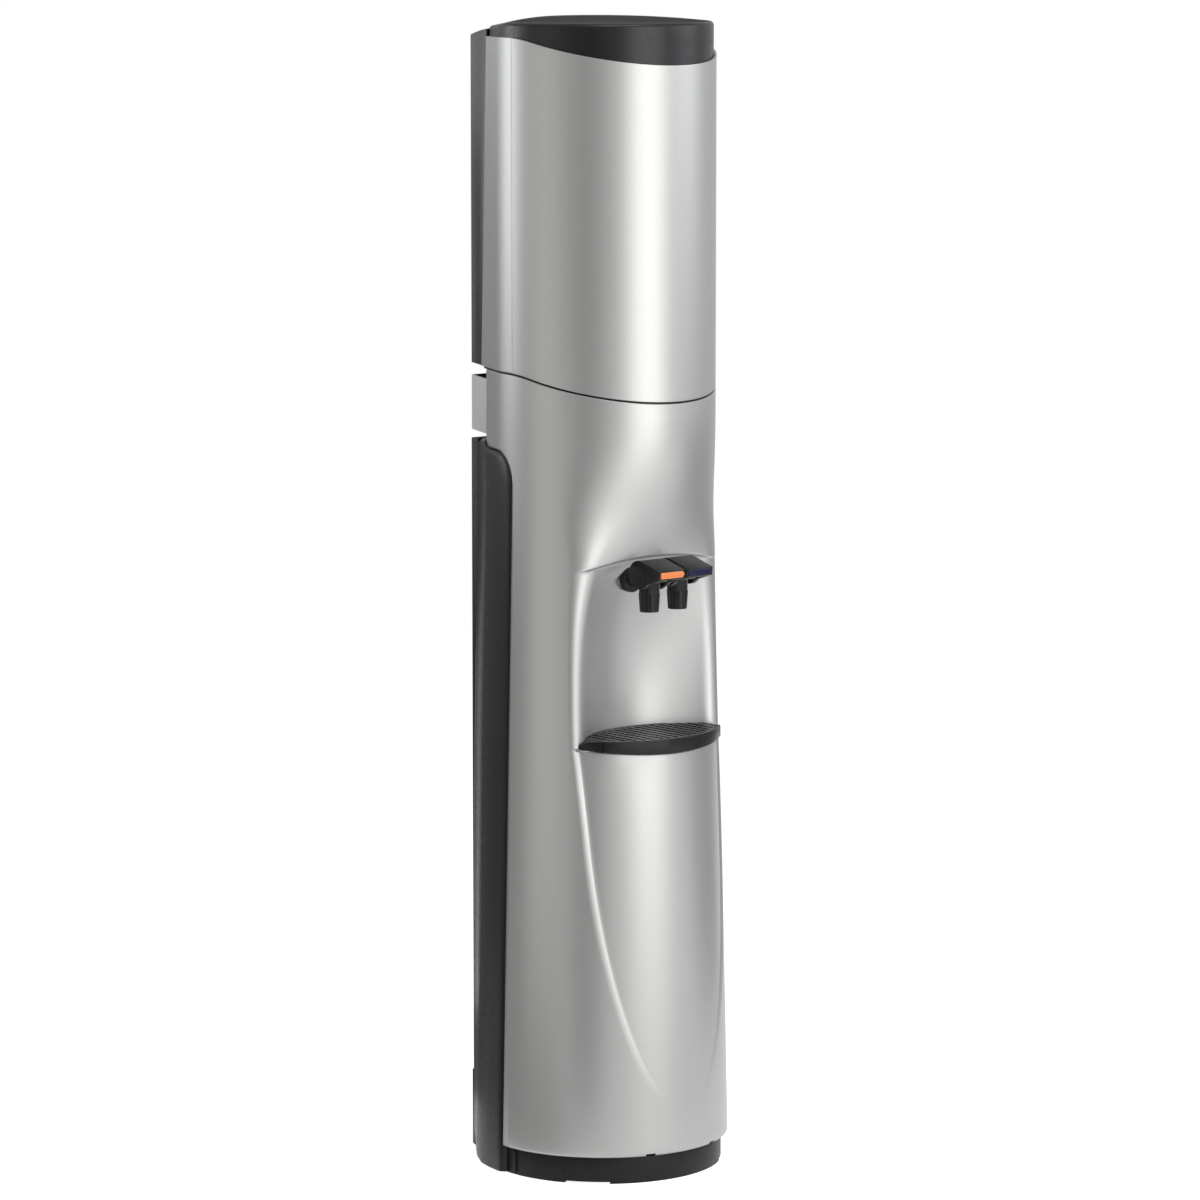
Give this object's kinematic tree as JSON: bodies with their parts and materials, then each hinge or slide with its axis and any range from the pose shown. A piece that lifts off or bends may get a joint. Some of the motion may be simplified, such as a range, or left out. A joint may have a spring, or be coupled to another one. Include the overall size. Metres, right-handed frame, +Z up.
{
  "type": "free-standing water cooler",
  "caption": "Tall round silver water cooler with a lift-off bottle cover and domed lid, hot and cold lever taps over a pull-out drip tray, and a condenser at the back.",
  "frame": {"origin": "on the floor under the axis of the round cabinet", "axes": "+Z up, front along -Y, +X to the right when seen from the front"},
  "size_m": [0.3202, 0.3198, 1.463],
  "materials": {
    "silver": "satin metallic silver paint on moulded plastic",
    "black": "fine grained black moulding",
    "tap_black": "semi-gloss black",
    "grey": "light grey moulding",
    "orange": "orange moulding",
    "blue": "dark blue moulding",
    "white": "white food-safe moulding",
    "foam": "white expanded foam",
    "steel": "brushed stainless steel",
    "galvanised": "zinc-coated sheet",
    "copper": "drawn copper",
    "rubber": "soft black rubber",
    "silicone": "clear silicone",
    "enamel": "black enamel",
    "red": "red rocker"
  },
  "bodies": {
    "cabinet": {"base_pan": "black", "front_shell": "silver", "rear_shell_left": "black", "rear_shell_right": "black", "rear_frame": "black", "collar_rear": "grey", "top_deck": "black", "bottle_receiver": "white", "receiver_probe": "white", "tank_shelf": "galvanised", "tank_insulation": "foam", "cold_tank": "steel", "evaporator_jacket": "copper", "baffle": "white", "hot_tank": "steel", "heater_band": "galvanised", "thermostat": "tap_black", "cold_outlet_tube": "silicone", "hot_outlet_tube": "silicone", "hot_feed_tube": "silicone", "drain_tube": "silicone", "drain_plug": "rubber", "compressor": "enamel", "compressor_grommets": "rubber", "discharge_line": "copper", "suction_line": "copper", "liquid_line": "copper", "filter_drier": "copper", "capillary_tube": "copper", "condenser_tube": "enamel", "condenser_wires": "enamel", "condenser_clips": "enamel", "switch_housing": "tap_black", "cord_gland": "rubber", "case_screws": "steel", "tray_bezel": "black", "tap_gaskets": "rubber", "tap_nuts": "white", "hot_tap_body": "tap_black", "cold_tap_body": "tap_black", "hot_nozzle": "tap_black", "cold_nozzle": "tap_black", "tap_pins": "steel"},
    "cover": {"bottle_cover": "silver", "cover_rear_panel": "black"},
    "lid": {"lid": "black"},
    "tray": {"drip_tray": "black"},
    "grille": {"drip_grille": "black"},
    "hot_lever": {"hot_lever": "tap_black"},
    "cold_lever": {"cold_lever": "tap_black", "cold_tip": "blue"},
    "hot_catch": {"hot_catch": "orange"},
    "hot_valve": {"hot_valve_stem": "silicone"},
    "cold_valve": {"cold_valve_stem": "silicone"},
    "rocker": {"heater_rocker": "red"}
  },
  "joints": [
    {"name": "cover_lift", "type": "slide", "parent": "cabinet", "child": "cover", "axis": [0, 0, 1], "range_m": [0, 0.5]},
    {"name": "lid_lift", "type": "slide", "parent": "cover", "child": "lid", "axis": [0, 0, 1], "range_m": [0, 0.12]},
    {"name": "tray_slide", "type": "slide", "parent": "cabinet", "child": "tray", "axis": [0, -1, 0], "range_m": [0, 0.12]},
    {"name": "grille_lift", "type": "slide", "parent": "tray", "child": "grille", "axis": [0, 0, 1], "range_m": [0, 0.015]},
    {"name": "hot_lever_press", "type": "hinge", "parent": "cabinet", "child": "hot_lever", "pos_m": [-0.0235, -0.131, 0.766], "axis": [1, 0, 0], "range_deg": [0, 14], "stiffness_Nm_per_rad": 1.5},
    {"name": "cold_lever_press", "type": "hinge", "parent": "cabinet", "child": "cold_lever", "pos_m": [0.0235, -0.131, 0.766], "axis": [1, 0, 0], "range_deg": [0, 14], "stiffness_Nm_per_rad": 1.5},
    {"name": "hot_catch_slide", "type": "slide", "parent": "hot_lever", "child": "hot_catch", "axis": [1, 0, 0], "range_m": [0, 0.003], "stiffness_N_per_m": 150},
    {"name": "hot_valve_rise", "type": "slide", "parent": "cabinet", "child": "hot_valve", "axis": [0, 0, 1], "range_m": [0, 0.0056]},
    {"name": "cold_valve_rise", "type": "slide", "parent": "cabinet", "child": "cold_valve", "axis": [0, 0, 1], "range_m": [0, 0.0056]},
    {"name": "heater_rocker_tip", "type": "hinge", "parent": "cabinet", "child": "rocker", "pos_m": [0.05, 0.1535, 0.2], "axis": [1, 0, 0], "range_deg": [-16, 0]}
  ],
  "couplings": [
    {"joint": "hot_valve_rise", "follows": "hot_lever_press", "m_per_rad": 0.0213},
    {"joint": "cold_valve_rise", "follows": "cold_lever_press", "m_per_rad": 0.0213}
  ]
}
